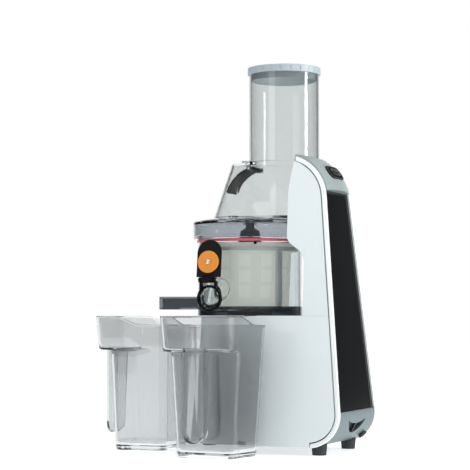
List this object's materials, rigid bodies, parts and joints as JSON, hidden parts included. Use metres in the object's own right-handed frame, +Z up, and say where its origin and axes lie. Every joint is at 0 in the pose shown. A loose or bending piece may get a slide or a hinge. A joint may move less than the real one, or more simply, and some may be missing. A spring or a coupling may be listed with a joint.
{
  "type": "cold press juicer",
  "caption": "Vertical slow juicer: white tower base, clear bowl with juice spout and pulp chute, clear hopper with wide feed chute, and two clear jugs.",
  "frame": {"origin": "the bowl's axis on the surface that the feet and the jugs stand on", "axes": "+Z up along the bowl's axis, +Y towards the tower, +X to the juice spout's side"},
  "size_m": [0.2377, 0.2973, 0.441],
  "materials": {
    "white_shell": "smooth white ABS, soft gloss",
    "trim_white": "bright gloss bead",
    "gloss_black": "piano black",
    "cover_grey": "satin moulded grey",
    "vent_dark": "satin black",
    "cap_pale": "satin pale grey-green",
    "foot_rubber": "matte rubber",
    "screw_steel": "zinc plated",
    "stator_steel": "laminated steel",
    "winding_copper": "enamelled copper wire",
    "bracket_metal": "die cast",
    "gearbox_nylon": "glass filled nylon",
    "bearing_steel": "ground steel",
    "seal_rubber": "nitrile rubber",
    "board_green": "solder mask",
    "shaft_steel": "polished stainless",
    "fan_black": "moulded black",
    "clear_bowl": "clear tritan",
    "band_smoke": "smoke tinted clear plastic",
    "seal_red": "red silicone",
    "strainer_mesh": "hazy ultem with fine mesh",
    "wiper_nylon": "pale nylon",
    "wiper_silicone": "translucent silicone",
    "auger_resin": "dark ultem resin",
    "clear_lid": "clear tritan",
    "ring_grey": "light blue-grey",
    "seal_orange": "orange silicone",
    "switch_dark": "satin rocker",
    "clear_jug": "clear polycarbonate"
  },
  "bodies": {
    "base": {"base_shell": "white_shell", "tower_shell": "white_shell", "side_trim_left": "trim_white", "side_trim_right": "trim_white", "back_spine": "gloss_black", "rear_bottom_cover": "cover_grey", "vent_insert": "vent_dark", "top_cap": "cap_pale", "switch_bezel": "vent_dark", "bottom_plate": "cover_grey", "rubber_feet": "foot_rubber", "bottom_plate_screws": "screw_steel", "motor_stator": "stator_steel", "motor_windings_low": "winding_copper", "motor_windings_high": "winding_copper", "motor_bracket": "bracket_metal", "gearbox_case": "gearbox_nylon", "gearbox_screws": "screw_steel", "output_bearing": "bearing_steel", "shaft_seal": "seal_rubber", "control_board": "board_green", "cord_gland": "foot_rubber"},
    "drive": {"drive_shaft": "shaft_steel"},
    "rotor": {"motor_rotor": "stator_steel", "cooling_fan": "fan_black"},
    "bowl": {"juice_bowl": "clear_bowl", "bowl_base_band": "band_smoke", "bowl_rim_seal": "seal_red", "juice_duct": "clear_bowl", "mouth_ring": "gloss_black", "pulp_chute": "band_smoke", "strainer_basket": "strainer_mesh", "drip_cap_pin": "shaft_steel", "drip_cap_lugs": "gloss_black", "bowl_hub_seal": "wiper_silicone"},
    "wiper": {"wiper_frame": "wiper_nylon", "wiper_blades": "wiper_silicone"},
    "auger": {"auger": "auger_resin"},
    "lid": {"lid_collar": "clear_lid", "hopper_dome": "clear_lid", "feed_chute": "clear_lid", "chute_ring": "ring_grey", "hinge_box": "clear_lid", "gate_pin": "shaft_steel", "gate_ears": "clear_lid"},
    "gate": {"gate_flap": "gloss_black"},
    "drip_cap": {"drip_cap": "gloss_black", "drip_cap_seal": "seal_orange", "drip_cap_stud": "shaft_steel"},
    "power_switch": {"power_switch": "switch_dark"},
    "juice_jug": {"juice_jug": "clear_jug", "juice_jug_handle": "clear_jug"},
    "pulp_jug": {"pulp_jug": "clear_jug", "pulp_jug_handle": "clear_jug"}
  },
  "joints": [
    {"name": "drive_spin", "type": "hinge", "parent": "base", "child": "drive", "pos_m": [0, 0, 0.15], "axis": [0, 0, 1], "continuous": true},
    {"name": "rotor_spin", "type": "hinge", "parent": "base", "child": "rotor", "pos_m": [0, 0, 0.06], "axis": [0, 0, 1], "continuous": true},
    {"name": "auger_spin", "type": "hinge", "parent": "bowl", "child": "auger", "pos_m": [0, 0, 0.2], "axis": [0, 0, 1], "continuous": true},
    {"name": "wiper_spin", "type": "hinge", "parent": "bowl", "child": "wiper", "pos_m": [0, 0, 0.2], "axis": [0, 0, 1], "continuous": true},
    {"name": "bowl_lift", "type": "slide", "parent": "base", "child": "bowl", "axis": [0, 0, 1], "range_m": [0, 0.15]},
    {"name": "lid_lift", "type": "slide", "parent": "bowl", "child": "lid", "axis": [0, 0, 1], "range_m": [0, 0.15]},
    {"name": "gate_swing", "type": "hinge", "parent": "lid", "child": "gate", "pos_m": [0, 0.0065, 0.3248], "axis": [1, 0, 0], "range_deg": [0, 105]},
    {"name": "drip_cap_hinge", "type": "hinge", "parent": "bowl", "child": "drip_cap", "pos_m": [0.08054, -0.01882, 0.1945], "axis": [0.0349, 0.9994, 0], "range_deg": [0, 186]},
    {"name": "switch_rock", "type": "hinge", "parent": "base", "child": "power_switch", "pos_m": [0, 0.10151, 0.31545], "axis": [1, 0, 0], "range_deg": [-8, 8]},
    {"name": "juice_jug_pull", "type": "slide", "parent": "base", "child": "juice_jug", "axis": [0.9903, -0.1392, 0], "range_m": [0, 0.15]},
    {"name": "pulp_jug_pull", "type": "slide", "parent": "base", "child": "pulp_jug", "axis": [0, -1, 0], "range_m": [0, 0.15]}
  ],
  "couplings": [
    {"joint": "auger_spin", "follows": "drive_spin", "ratio": 1},
    {"joint": "wiper_spin", "follows": "drive_spin", "ratio": -0.5},
    {"joint": "rotor_spin", "follows": "drive_spin", "ratio": 24}
  ]
}
